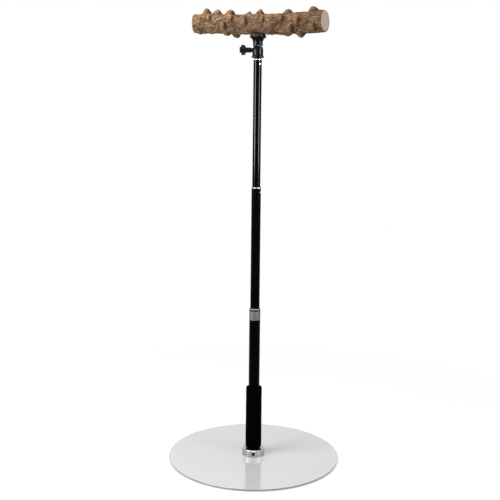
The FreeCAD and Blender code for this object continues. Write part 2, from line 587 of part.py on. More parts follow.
def make_perch():
    """Branch with its knobs, the milled seat for the platform, and the threaded insert."""
    along = FreeCAD.Vector(1, 0, 0)
    rings = []
    for x, rise, share in BRANCH_STATIONS:
        centre = FreeCAD.Vector(x, 0, branch_axis + rise)
        rings.append(Part.Wire(Part.makeCircle(BRANCH_RADIUS * share, centre, along)))
    wood = Part.makeLoft(rings, True, True)
    for x, lean, height, base in BRANCH_KNOBS:
        rise, radius = branch_at(x)
        sunk = radius - ball_height_at(radius, base) + KNOB_ROOT
        grown = base * (1 + sunk / height * (1 - KNOB_TIP_SHARE))
        knob = Part.makeCone(grown, base * KNOB_TIP_SHARE, height + sunk,
                             FreeCAD.Vector(x, 0, branch_axis + rise + radius - sunk))
        wood = wood.fuse(turn(knob, lean, FreeCAD.Vector(x, 0, branch_axis + rise), along))
    room = 4 * BRANCH_RADIUS
    for (x, slant), start in ((LEFT_CUT, -room), (RIGHT_CUT, 0.0)):
        corner = FreeCAD.Vector(x + start, -room / 2, branch_axis - room / 2)
        wood = wood.cut(turn(Part.makeBox(room, room, room, corner), slant, FreeCAD.Vector(x, 0, 0)))
    pocket = rod(BRANCH_POCKET_DIAMETER, seat_height - BRANCH_RADIUS, seat_height)
    insert_top = seat_height + INSERT_LENGTH
    bore = rod(INSERT_DIAMETER + 2 * SEATED, seat_height - 1, insert_top + SEATED)
    wood = wood.cut(pocket).cut(bore)
    stud_hole = rod(PERCH_STUD_DIAMETER + 2 * RUNNING, 0, seat_height + PERCH_STUD_DEPTH + EDGE)
    insert = rod(INSERT_DIAMETER, seat_height + SEATED, insert_top, EDGE).cut(stud_hole)
    return {"branch_perch": wood, "perch_insert": insert}


def main():
    """Build every piece and write one STEP file for each node."""
    os.makedirs(OUT, exist_ok=True)
    parts = {}
    for made in (make_base(), make_pole(), make_head_mount(), {"head_housing": make_housing()},
                 make_ball_parts(), make_platform(), make_knob(), make_perch()):
        parts.update(made)
    for name, shape in parts.items():
        volume = sum(solid.Volume for solid in shape.Solids)
        print(name, len(shape.Solids), round(volume, 1), shape.isValid())
        shape.exportStep(os.path.join(OUT, name + ".step"))


main()
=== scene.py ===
"""Looks of the parrot play stand: finishes, the foam grip, the bark of the branch and the studio."""
import json
import logging
import math
import random
from dataclasses import dataclass, field
from enum import Enum
from typing import Dict, Iterable, List, Optional, Sequence, Tuple, Union

import bpy
import numpy as np
from mathutils import Matrix, Vector, noise

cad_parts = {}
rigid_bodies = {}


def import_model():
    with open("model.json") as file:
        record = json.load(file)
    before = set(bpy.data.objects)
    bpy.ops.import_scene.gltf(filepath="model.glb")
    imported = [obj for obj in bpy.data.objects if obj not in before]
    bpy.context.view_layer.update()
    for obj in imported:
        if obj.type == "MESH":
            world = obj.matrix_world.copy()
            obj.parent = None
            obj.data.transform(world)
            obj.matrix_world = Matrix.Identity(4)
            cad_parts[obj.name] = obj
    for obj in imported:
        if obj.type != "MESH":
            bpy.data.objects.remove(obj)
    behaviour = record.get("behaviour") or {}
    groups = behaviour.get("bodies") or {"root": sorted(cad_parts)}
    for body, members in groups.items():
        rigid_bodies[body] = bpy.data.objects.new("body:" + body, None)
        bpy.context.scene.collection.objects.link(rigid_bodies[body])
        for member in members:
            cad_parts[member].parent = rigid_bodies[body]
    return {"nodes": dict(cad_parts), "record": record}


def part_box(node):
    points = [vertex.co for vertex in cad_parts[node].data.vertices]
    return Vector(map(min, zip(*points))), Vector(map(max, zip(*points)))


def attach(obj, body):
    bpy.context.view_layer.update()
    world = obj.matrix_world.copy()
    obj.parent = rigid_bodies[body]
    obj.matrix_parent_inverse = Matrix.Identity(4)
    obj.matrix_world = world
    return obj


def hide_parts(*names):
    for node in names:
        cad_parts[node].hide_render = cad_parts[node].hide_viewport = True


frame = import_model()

log = logging.getLogger("parrot_stand")
MM = 0.001
Colour = Tuple[float, float, float, float]
Number = Union["Reading", float]


def linear(seen: float) -> float:
    """Linear light of one channel that is given as seen on a screen, 0 to 1."""
    return seen / 12.92 if seen <= 0.04045 else ((seen + 0.055) / 1.055) ** 2.4


def shade(red: float, green: float, blue: float) -> Colour:
    """The shader's colour for red, green and blue shares as seen on a screen, 0 to 1."""
    return (linear(red), linear(green), linear(blue), 1.0)


class Reading:
    """A number on its way through a node tree, which Python's operators work on."""

    def __init__(self, bench: "Bench", socket: bpy.types.NodeSocket) -> None:
        """Keep the bench that the number's node stands on and the node's output."""
        self.bench = bench
        self.socket = socket

    def _maths(self, operation: str, *terms: Number, clamp: bool = False) -> "Reading":
        """Add one Math node.

        Args:
            operation: The Math node's operation.
            terms: The numbers it works on.
            clamp: Whether the result is kept within 0 and 1.

        Returns:
            The node's result.
        """
        settings = {"operation": operation, "use_clamp": clamp}
        made = self.bench.node("ShaderNodeMath", settings, dict(enumerate(terms)))
        return Reading(self.bench, made.outputs[0])

    def __add__(self, other: Number) -> "Reading":
        """Sum."""
        return self._maths("ADD", self, other)

    def __radd__(self, other: Number) -> "Reading":
        """Sum, from the right."""
        return self._maths("ADD", other, self)

    def __sub__(self, other: Number) -> "Reading":
        """Difference."""
        return self._maths("SUBTRACT", self, other)

    def __rsub__(self, other: Number) -> "Reading":
        """Difference, from the right."""
        return self._maths("SUBTRACT", other, self)

    def __mul__(self, other: Number) -> "Reading":
        """Product."""
        return self._maths("MULTIPLY", self, other)

    def __rmul__(self, other: Number) -> "Reading":
        """Product, from the right."""
        return self._maths("MULTIPLY", other, self)

    def __truediv__(self, other: Number) -> "Reading":
        """Quotient."""
        return self._maths("DIVIDE", self, other)

    def __rtruediv__(self, other: Number) -> "Reading":
        """Quotient, from the right."""
        return self._maths("DIVIDE", other, self)

    def __pow__(self, other: Number) -> "Reading":
        """Power."""
        return self._maths("POWER", self, other)

    def bounded(self) -> "Reading":
        """The same number, kept within 0 and 1."""
        return self._maths("ADD", self, 0.0, clamp=True)

    def sine(self) -> "Reading":
        """Sine of the number, in radians."""
        return self._maths("SINE", self)

    def step(self, low: float, high: float) -> "Reading":
        """A straight ramp from 0 at low to 1 at high, which may be below low for a falling step."""
        return ((self - low) / (high - low)).bounded()


class Bench:
    """A node tree with one method that makes its nodes."""

    def __init__(self, tree: bpy.types.NodeTree) -> None:
        """Keep the tree that the nodes go in."""
        self.tree = tree

    def node(self, kind: str, settings: Optional[dict] = None,
             inputs: Optional[dict] = None) -> bpy.types.Node:
        """Make a node.

        Args:
            kind: The node's type.
            settings: Its properties, and "stops" for a ramp as (place, colour) pairs.
            inputs: Values or links for its sockets, by name or number.

        Returns:
            The node.
        """
        made = self.tree.nodes.new(kind)
        for name, value in (settings or {}).items():
            if name == "stops":
                ramp = made.color_ramp.elements
                while len(ramp) < len(value):
                    ramp.new(0.5)
                for element, (place, colour) in zip(ramp, value):
                    element.position = place
                    element.color = colour
            else:
                setattr(made, name, value)
        for name, value in (inputs or {}).items():
            socket = made.inputs[name]
            if isinstance(value, Reading):
                self.tree.links.new(value.socket, socket)
            elif isinstance(value, bpy.types.NodeSocket):
                self.tree.links.new(value, socket)
            else:
                socket.default_value = value
        return made

    def in_view(self) -> Reading:
        """Tell the rays that show a surface from those that only light.

        Returns:
            1 on rays from the camera, a reflection or a clear material, and 0 on others.
        """
        ray = self.node("ShaderNodeLightPath")
        camera, gloss, clear = (Reading(self, ray.outputs[f"Is {kind} Ray"])
                                for kind in ("Camera", "Glossy", "Transmission"))
        return (camera + gloss + clear).bounded()


class Recipe(Bench):
    """The node tree of one material, with the patterns that its finish needs."""

    def __init__(self, name: str) -> None:
        """Args:
            name: The material's name.
        """
        self.material = bpy.data.materials.new(name)
        self.material.use_nodes = True
        super().__init__(self.material.node_tree)
        self.tree.nodes.clear()
        self._place: Optional[bpy.types.NodeSocket] = None

    def place(self) -> bpy.types.NodeSocket:
        """Object coordinates, from a node that is made once.

        Returns:
            The coordinates, in metres.
        """
        if self._place is None:
            self._place = self.node("ShaderNodeTexCoord").outputs["Object"]
        return self._place

    def stretched(self, along: Tuple[float, float, float]) -> bpy.types.NodeSocket:
        """Object coordinates scaled along X, Y and Z."""
        made = self.node("ShaderNodeMapping", None, {"Vector": self.place(), "Scale": along})
        return made.outputs["Vector"]

    def noise(self, per_metre: float, detail: float = 4.0, roughness: float = 0.55,
              along: Tuple[float, float, float] = (1, 1, 1), twist: float = 0.0) -> Reading:
        """Soft noise.

        Args:
            per_metre: How fine the pattern is.
            detail: Octaves.
            roughness: Weight of the finer octaves.
            along: Stretch of the pattern on each axis.
            twist: Distortion.

        Returns:
            The noise, about 0.2 to 0.8.
        """
        where = self.place() if along == (1, 1, 1) else self.stretched(along)
        made = self.node("ShaderNodeTexNoise", None, {
            "Vector": where, "Scale": per_metre, "Detail": detail, "Roughness": roughness,
            "Distortion": twist})
        return Reading(self, made.outputs[0])

    def cells(self, per_metre: float, along: Tuple[float, float, float] = (1, 1, 1),
              edge: bool = False) -> Reading:
        """Cell pattern.

        Args:
            per_metre: How fine the cells are.
            along: Stretch of the pattern on each axis.
            edge: Whether to give the distance to a cell's edge, in place of its centre.

        Returns:
            The distance.
        """
        where = self.place() if along == (1, 1, 1) else self.stretched(along)
        feature = "DISTANCE_TO_EDGE" if edge else "F1"
        made = self.node("ShaderNodeTexVoronoi", {"feature": feature},
                         {"Vector": where, "Scale": per_metre})
        return Reading(self, made.outputs["Distance"])

    def axes(self) -> Tuple[Reading, Reading, Reading]:
        """The three object coordinates as numbers, in metres."""
        made = self.node("ShaderNodeSeparateXYZ", None, {0: self.place()})
        return tuple(Reading(self, made.outputs[i]) for i in range(3))

    def from_axis(self) -> Reading:
        """Distance from the pole's axis, in metres."""
        x, y, _ = self.axes()
        return (x * x + y * y) ** 0.5

    def attribute(self, name: str) -> Reading:
        """A number that the mesh carries under this name."""
        made = self.node("ShaderNodeAttribute", {"attribute_name": name})
        return Reading(self, made.outputs["Fac"])

    def ramp(self, amount: Reading, *stops: Tuple[float, Colour]) -> bpy.types.NodeSocket:
        """Colours over a number, from stops that each give a place and a colour."""
        made = self.node("ShaderNodeValToRGB", {"stops": stops}, {"Fac": amount})
        return made.outputs["Color"]

    def blend(self, amount: Number, under: object, over: object) -> bpy.types.NodeSocket:
        """Mix two colours, or links to them, by the share of the one on top."""
        made = self.node("ShaderNodeMix", {"data_type": "RGBA"}, {0: amount, 6: under, 7: over})
        return made.outputs[2]

    def bump(self, height: Reading, depth: float) -> bpy.types.NodeSocket:
        """The shader's normal for relief of about 0 to 1 that is this many metres deep at 1."""
        made = self.node("ShaderNodeBump", None, {"Strength": 1.0, "Distance": depth, "Height": height})
        return made.outputs["Normal"]

    def finish(self, **sockets: object) -> bpy.types.Material:
        """Close the material with one Principled shader.

        Args:
            sockets: The shader's inputs, with underscores for spaces.

        Returns:
            The material.
        """
        inputs = {name.replace("_", " "): value for name, value in sockets.items()}
        shader = self.node("ShaderNodeBsdfPrincipled", None, inputs)
        self.node("ShaderNodeOutputMaterial", None, {"Surface": shader.outputs[0]})
        return self.material


@dataclass(frozen=True)
class GlossPaint:
    """Smooth gloss coat on steel, with a faint orange peel and wiped dust."""

    name: str = "white_gloss"
    colour: Colour = shade(0.75, 0.74, 0.745)
    dusty: Colour = shade(0.72, 0.71, 0.715)
    # painted shade of the plate's vertical side
    edge: Colour = shade(0.45, 0.44, 0.43)
    rough: float = 0.10
    # distances from the axis, in metres, between which the rim turns to the edge's colour, a painted shade
    # of the plate's side
    rim: Tuple[float, float] = (0.2022, 0.2028)

    def material(self) -> bpy.types.Material:
        """Mix the coat with its orange peel, dust and the painted shade on its side rim.

        Returns:
            The finished material.
        """
        make = Recipe(self.name)
        dust = make.noise(9.0, 5.0, 0.6).step(0.45, 0.75)
        wipes = make.noise(60.0, 3.0, 0.6, along=(1.0, 0.12, 1.0)).step(0.5, 0.8)
        rim = make.from_axis().step(*self.rim)
        colour = make.blend(dust * 0.5, self.colour, self.dusty)
        # painted shade: the plate's side rim is darkened as if in shade
        colour = make.blend(rim * 0.8, colour, self.edge)
        peel = make.noise(420.0, 2.0)
        return make.finish(Base_Color=colour, Roughness=self.rough + dust * 0.06 + wipes * 0.05,
                           Normal=make.bump(peel, 0.00002), Coat_Weight=0.5, Coat_Roughness=0.04)


@dataclass(frozen=True)
class TubeCoat:
    """Gloss black anodised tube with fine sliding marks along it."""

    name: str = "black_tube"
    colour: Colour = shade(0.008, 0.008, 0.009)
    worn: Colour = shade(0.05, 0.05, 0.053)
    rough: float = 0.10
    gloss: float = 0.02

    def material(self) -> bpy.types.Material:
        """Mix the dark coat with the sliding marks along it.

        Returns:
            The finished material.
        """
        make = Recipe(self.name)
        drawn = make.noise(900.0, 3.0, 0.6, along=(1.0, 1.0, 0.012))
        scuff = make.noise(240.0, 4.0, 0.7, along=(1.0, 1.0, 0.05)).step(0.60, 0.78)
        patch = make.noise(22.0, 2.0).step(0.45, 0.65)
        wear = scuff * patch
        colour = make.blend(wear * 0.5, self.colour, self.worn)
        return make.finish(Base_Color=colour, Roughness=self.rough + drawn * 0.06 + wear * 0.18,
                           Normal=make.bump(drawn, 0.000006), Specular_IOR_Level=self.gloss)


class Lay(Enum):
    """Tool marks on turned or plated metal: their stretch on each axis, and how fine they are."""

    ROUND = ((1.0, 1.0, 40.0), 60.0)
    EVEN = ((1.0, 1.0, 1.0), 700.0)


@dataclass(frozen=True)
class Metal:
    """Bare, plated or polished metal with tool marks and fine wear."""

    name: str
    colour: Colour
    dull: Colour
    rough: float
    lay: Lay = Lay.ROUND
    marks: float = 0.00001

    def material(self) -> bpy.types.Material:
        """Mix the metal with its tool marks and stains.

        Returns:
            The finished material.
        """
        make = Recipe(self.name)
        stretch, per_metre = self.lay.value
        marks = make.noise(per_metre, 4.0, 0.65, along=stretch)
        stain = make.noise(110.0, 4.0, 0.6).step(0.42, 0.72)
        colour = make.blend(stain * 0.6 + marks * 0.2, self.colour, self.dull)
        return make.finish(Base_Color=colour, Metallic=1.0,
                           Roughness=self.rough + marks * 0.10 + stain * 0.06,
                           Normal=make.bump(marks, self.marks))


@dataclass(frozen=True)
class HeadPaint:
    """Satin black coat on cast metal, rubbed bright along the rims."""

    name: str = "head_black"
    colour: Colour = shade(0.035, 0.036, 0.039)
    rubbed: Colour = shade(0.34, 0.345, 0.36)
    # distance of the platform's rim from the axis, and width of its rubbed edge, in metres
    rim: float = 0.0185
    rim_width: float = 0.0012
    rough: float = 0.24
    gloss: float = 0.024

    def material(self) -> bpy.types.Material:
        """Mix the satin coat with its chips and the rubbed rim.

        Returns:
            The finished material.
        """
        make = Recipe(self.name)
        grain = make.noise(1500.0, 3.0, 0.6)
        chips = make.noise(420.0, 4.0, 0.7).step(0.50, 0.66)
        edge = make.from_axis().step(self.rim - self.rim_width, self.rim)
        wear = (edge * 0.75 + 0.08) * chips
        colour = make.blend(wear, self.colour, self.rubbed)
        return make.finish(Base_Color=colour, Roughness=self.rough + grain * 0.12 - wear * 0.08,
                           Metallic=wear * 0.5, Normal=make.bump(grain + chips * -0.4, 0.00006),
                           Specular_IOR_Level=self.gloss)


@dataclass(frozen=True)
class Moulded:
    """Moulded plastic or rubber with a fine grain, scuffed pale in places."""

    name: str
    colour: Colour
    scuffed: Colour
    rough: float
    grain: float = 1800.0
    relief: float = 0.00004
    gloss: float = 0.5

    def material(self) -> bpy.types.Material:
        """Mix the moulded skin with its grain and pale scuffs.

        Returns:
            The finished material.
        """
        make = Recipe(self.name)
        grain = make.cells(self.grain)
        scuff = make.noise(180.0, 5.0, 0.7).step(0.52, 0.72)
        colour = make.blend(scuff * 0.6, self.colour, self.scuffed)
        return make.finish(Base_Color=colour, Roughness=self.rough + scuff * 0.10,
                           Normal=make.bump(grain, self.relief), Specular_IOR_Level=self.gloss)


@dataclass(frozen=True)
class FoamSkin:
    """Closed-cell foam: dull black with open pores and soft dents."""

    name: str = "foam_black"
    colour: Colour = shade(0.004, 0.004, 0.004)
    pale: Colour = shade(0.014, 0.014, 0.014)

    def material(self) -> bpy.types.Material:
        """Mix the foam with its pores, dents and rubbed places.

        Returns:
            The finished material.
        """
        make = Recipe(self.name)
        pores = make.cells(1500.0)
        coarse = make.cells(620.0).step(0.05, 0.32)
        dents = make.noise(160.0, 3.0)
        rubbed = make.noise(45.0, 4.0, 0.6).step(0.48, 0.75)
        colour = make.blend(rubbed * 0.5 + pores * 0.25, self.colour, self.pale)
        return make.finish(Base_Color=colour, Roughness=0.82 + rubbed * 0.10,
                           Normal=make.bump(pores * 0.5 + coarse * 0.6 + dents * 0.4, 0.00022),
                           Specular_IOR_Level=0.01)


@dataclass(frozen=True)
class SilverFilm:
    """Bare silver film wound on the tube, slightly creased."""

    name: str = "silver_film"
    colour: Colour = shade(0.385, 0.355, 0.366)
    rubbed: Colour = shade(0.19, 0.175, 0.182)

    def material(self) -> bpy.types.Material:
        """Mix the film with its creases and rubbed places.

        Returns:
            The finished material.
        """
        make = Recipe(self.name)
        creases = make.noise(260.0, 3.0, 0.6, along=(1.0, 1.0, 0.25))
        rubs = make.noise(500.0, 4.0, 0.7, along=(1.0, 1.0, 3.0)).step(0.52, 0.68)
        colour = make.blend(rubs * 0.7, self.colour, self.rubbed)
        return make.finish(Base_Color=colour, Metallic=0.35, Roughness=0.40 + rubs * 0.15,
                           Normal=make.bump(creases, 0.00010))


@dataclass(frozen=True)
class Bark:
    """Mottled bark: tan plates, pale and dark specks, knobs, and painted shade that darkens the low
    furrows, the pits on the knobs' +X flanks and the branch towards +X.
    """

    name: str = "bark"
    # colours of the slow patches and of the fine fibres, each at its share of the noise
    patches: Tuple[Tuple[float, Colour], ...] = (
        (0.30, shade(0.43, 0.31, 0.22)), (0.44, shade(0.565, 0.445, 0.335)),
        (0.58, shade(0.63, 0.51, 0.395)), (0.72, shade(0.52, 0.37, 0.285)))
    fibres: Tuple[Tuple[float, Colour], ...] = (
        (0.38, shade(0.13, 0.08, 0.05)), (0.46, shade(0.42, 0.30, 0.21)),
        (0.53, shade(0.65, 0.525, 0.395)), (0.62, shade(0.90, 0.78, 0.63)))
    pale_speck: Colour = shade(0.80, 0.70, 0.57)
    dark_speck: Colour = shade(0.21, 0.135, 0.09)
    crack: Colour = shade(0.22, 0.14, 0.095)
    # painted shade in the bark's low places
    furrow: Colour = shade(0.23, 0.145, 0.095)
    # painted shade in the pits on the knobs' +X flanks
    pit: Colour = shade(0.15, 0.095, 0.065)
    knob_ring: Colour = shade(0.36, 0.215, 0.14)
    knob_tip: Colour = shade(0.83, 0.65, 0.46)
    heart: Colour = shade(0.72, 0.50, 0.32)
    # painted shade that darkens the bark towards +X, farther from the key light
    falloff_painted_shade: Colour = shade(0.20, 0.13, 0.085)
    # distances along the branch, in metres, between which the painted shade darkens the bark towards +X
    falloff_painted_shade_span: Tuple[float, float] = (-0.14, 0.13)

    def material(self) -> bpy.types.Material:
        """Mix the bark's patches, fibres, specks, cracks and knobs with the painted shade of its furrows,
        its pits and its +X side.

        Returns:
            The finished material.
        """
        make = Recipe(self.name)
        patch = make.noise(38.0, 3.0, 0.55, along=(0.8, 1.0, 1.0))
        fibre = make.noise(330.0, 6.0, 0.75, along=(0.5, 1.0, 1.0), twist=1.0)
        speck = make.noise(1050.0, 4.0, 0.7)
        cracks = make.cells(260.0, along=(0.5, 1.0, 1.0), edge=True).step(0.0, 0.12)
        colour = make.blend(0.80, make.ramp(patch, *self.patches), make.ramp(fibre, *self.fibres))
        colour = make.blend(speck.step(0.54, 0.64) * 0.35, colour, self.pale_speck)
        colour = make.blend(speck.step(0.47, 0.37) * 0.50, colour, self.dark_speck)
        colour = make.blend((1 - cracks) * 0.55, colour, self.crack)
        # painted shade: the lower a place on the bark, the darker it is painted
        low = make.attribute("furrow")
        colour = make.blend(low.step(0.15, 0.8) * 0.70, colour, self.furrow)
        # painted shade: the pits on the knobs' +X flanks, the side turned from the key light
        pit = (make.attribute("pit") + (fibre - 0.5) * 1.3).step(0.25, 0.65)
        colour = make.blend(pit * 0.82, colour, self.pit)
        knob = make.attribute("knob")
        rings = make.noise(360.0, 3.0, 0.6).step(0.45, 0.58)
        colour = make.blend(knob.step(0.15, 0.85) * rings * 0.50, colour, self.knob_ring)
        bare = knob.step(0.30, 0.90) * (1 - rings)
        colour = make.blend(bare * 0.45, colour, self.knob_tip)
        smooth = (make.attribute("heartspot") + (fibre - 0.5) * 1.2).step(0.4, 0.8)
        colour = make.blend(smooth * 0.85, colour, self.heart)
        # painted shade: the bark darkens towards +X, farther from the key light
        colour = make.blend(make.axes()[0].step(*self.falloff_painted_shade_span) * 0.40, colour, self.falloff_painted_shade)
        relief = fibre * 0.7 + speck * 0.25 + cracks * 0.35
        return make.finish(Base_Color=colour, Roughness=0.86 - smooth * 0.30,
                           Normal=make.bump(relief, 0.0015), Specular_IOR_Level=0.03)


@dataclass(frozen=True)
class EndGrain:
    """Sanded end of the branch: growth rings, saw marks and a darker rim under the bark."""

    name: str = "end_grain"
    # height of the end's middle and radius of its wood, in metres
    height: float = 1.0
    radius: float = 0.023
    pale: Colour = shade(0.715, 0.665, 0.61)
    grain: Colour = shade(0.60, 0.53, 0.455)
    rim: Colour = shade(0.50, 0.38, 0.28)
    # radians of the rings' wave in a metre
    ring_rate: float = 3600.0

    def material(self) -> bpy.types.Material:
        """Mix the growth rings, the saw marks and the rim under the bark.

        Returns:
            The finished material.
        """
        make = Recipe(self.name)
        _, y, z = make.axes()
        wobble = make.noise(60.0, 3.0) * 0.0022
        reach = ((y * y) + (z - self.height) * (z - self.height)) ** 0.5 + wobble
        rings = (reach * self.ring_rate).sine() * 0.5 + 0.5
        rings = rings * make.noise(120.0, 2.0).step(0.3, 0.7)
        saw = make.noise(420.0, 4.0, 0.7, along=(1.0, 0.10, 1.0))
        colour = make.blend(rings * 0.50 + saw * 0.28, self.pale, self.grain)
        rim = reach.step(self.radius * 0.90, self.radius * 0.99)
        colour = make.blend(rim * 0.75, colour, self.rim)
        return make.finish(Base_Color=colour, Roughness=0.74, Specular_IOR_Level=0.05,
                           Normal=make.bump(saw * 0.6 + rings * 0.4, 0.00012))


@dataclass(frozen=True)
class StudioFloor:
    """Plain white paper floor that keeps soft shadows and fades into a white surround."""

    name: str = "floor_paper"
    # share of white that shows at the stand, and distances in metres between which it grows to all
    lift: float = 0.42
    near: float = 0.30
    far: float = 1.1

    def material(self) -> bpy.types.Material:
        """Mix paper that keeps shadows with a white glow that grows outwards.

        Returns:
            The finished material.
        """
        make = Recipe(self.name)
        paper = make.node("ShaderNodeBsdfDiffuse", None, {"Color": shade(0.95, 0.95, 0.95)})
        glow = make.node("ShaderNodeEmission", None, {"Color": (1, 1, 1, 1), "Strength": 1.0})
        share = make.from_axis().step(self.near, self.far) * (1 - self.lift) + self.lift
        mixed = make.node("ShaderNodeMixShader", None, {
            0: make.in_view() * share, 1: paper.outputs[0], 2: glow.outputs[0]})
        make.node("ShaderNodeOutputMaterial", None, {"Surface": mixed.outputs[0]})
        return make.material


class Finishes:
    """The materials of the stand, by the record's slot, each made once."""

    def __init__(self) -> None:
        """Make every finish that CAD nodes and pieces use."""
        steel = shade(0.80, 0.81, 0.80)
        made = {
            "white_gloss_paint": GlossPaint(),
            "black_rubber": Moulded("rubber_black", shade(0.06, 0.06, 0.06), shade(0.12, 0.12, 0.115), 0.72,
                                    1800.0, 0.00004, 0.08),
            "nickel_plated_steel": Metal("bright_nickel", shade(0.74, 0.74, 0.73), shade(0.62, 0.62, 0.61),
                                         0.20, Lay.ROUND, 0.00001),
            "zinc_plated_steel": Metal("zinc_plate", steel, shade(0.62, 0.64, 0.66), 0.28, Lay.EVEN),
            "black_oxide_steel": Metal("black_oxide", shade(0.20, 0.20, 0.21), shade(0.12, 0.12, 0.12),
                                       0.28, Lay.EVEN),
            "plain_aluminium": Metal("turned_aluminium", shade(0.83, 0.83, 0.84),
                                     shade(0.70, 0.70, 0.71), 0.34),
            "black_gloss_tube": TubeCoat(),
            "bright_aluminium": Metal("bright_aluminium", shade(0.47, 0.47, 0.47),
                                      shade(0.38, 0.38, 0.38), 0.46),
            "polished_chrome": Metal("chrome", shade(0.93, 0.93, 0.94), shade(0.85, 0.85, 0.87), 0.06,
                                     Lay.EVEN, 0.000003),
            "black_foam": FoamSkin(),
            "silver_foil": SilverFilm(),
            "white_nylon": Moulded("nylon_white", shade(0.90, 0.90, 0.87), shade(0.80, 0.80, 0.76), 0.48),
            "black_head_paint": HeadPaint(),
            "plain_brass": Metal("turned_brass", shade(0.85, 0.70, 0.40), shade(0.66, 0.50, 0.26), 0.28),
            "black_knob_plastic": Moulded("knob_plastic", shade(0.040, 0.041, 0.045),
                                          shade(0.11, 0.115, 0.125), 0.30, 1300.0, 0.00008, 0.07),
            "natural_bark": Bark(),
        }
        self._made: Dict[str, bpy.types.Material] = {slot: kind.material() for slot, kind in made.items()}

    def __getitem__(self, slot: str) -> bpy.types.Material:
        """The material of a slot."""
        return self._made[slot]

    def dress(self, record: dict, nodes: Dict[str, bpy.types.Object]) -> None:
        """Give every CAD node its finish.

        Args:
            record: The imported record, which names each node's slot.
            nodes: The CAD nodes.
        """
        for entry in record["subparts"]:
            for slot in nodes[entry["node"]].material_slots:
                slot.material = self[entry["material_slot"]]


def mesh_object(name: str, corners: Sequence[Vector],
                faces: Iterable[Sequence[int]]) -> bpy.types.Object:
    """Link a smooth-shaded mesh object at the origin.

    Args:
        name: The piece's name.
        corners: Vertex places in metres.
        faces: Vertex numbers of each face.

    Returns:
        The object.
    """
    mesh = bpy.data.meshes.new(name)
    mesh.from_pydata([tuple(corner) for corner in corners], [], list(faces))
    mesh.validate()
    mesh.shade_smooth()
    made = bpy.data.objects.new(name, mesh)
    bpy.context.scene.collection.objects.link(made)
    return made


class Growth:
    """A Geometry Nodes tree that works on a piece once and leaves a plain mesh."""

    def __init__(self, name: str, *sizes: str) -> None:
        """Args:
            name: The tree's name.
            sizes: Names of the numbers that the tree takes.
        """
        self.tree = bpy.data.node_groups.new(name, "GeometryNodeTree")
        self.bench = Bench(self.tree)
        sockets = self.tree.interface
        sockets.new_socket("Geometry", in_out="INPUT", socket_type="NodeSocketGeometry")
        sockets.new_socket("Geometry", in_out="OUTPUT", socket_type="NodeSocketGeometry")
        self.ids: Dict[str, str] = {}
        for size in sizes:
            socket = sockets.new_socket(size, in_out="INPUT", socket_type="NodeSocketFloat")
            self.ids[size] = socket.identifier
        self.given = self.bench.node("NodeGroupInput")

    def number(self, name: str) -> Reading:
        """One of the tree's named numbers."""
        return Reading(self.bench, self.given.outputs[name])

    def marked(self, name: str, kind: str) -> bpy.types.NodeSocket:
        """An attribute that the piece's mesh carries, by its name and kind."""
        made = self.bench.node("GeometryNodeInputNamedAttribute", {"data_type": kind}, {"Name": name})
        return made.outputs["Attribute"]

    def coat(self, shape: bpy.types.NodeSocket, finish: bpy.types.Material) -> bpy.types.NodeSocket:
        """Turn instances into mesh and give the shape its material.

        Args:
            shape: The geometry.
            finish: The material.

        Returns:
            The coated geometry.
        """
        real = self.bench.node("GeometryNodeRealizeInstances", None, {0: shape})
        made = self.bench.node("GeometryNodeSetMaterial", None, {
            "Geometry": real.outputs[0], "Material": finish})
        return made.outputs[0]

    def apply(self, piece: bpy.types.Object, result: bpy.types.NodeSocket,
              values: Dict[str, float]) -> None:
        """Close the tree, run it on a piece and keep the result as its mesh.

        Args:
            piece: The piece.
            result: The tree's last geometry.
            values: The tree's numbers, by name.
        """
        self.bench.node("NodeGroupOutput", None, {0: result})
        modifier = piece.modifiers.new("growth", "NODES")
        modifier.node_group = self.tree
        for name, value in values.items():
            modifier[self.ids[name]] = value
        graph = bpy.context.evaluated_depsgraph_get()
        grown = bpy.data.meshes.new_from_object(piece.evaluated_get(graph))
        piece.modifiers.remove(modifier)
        piece.data = grown


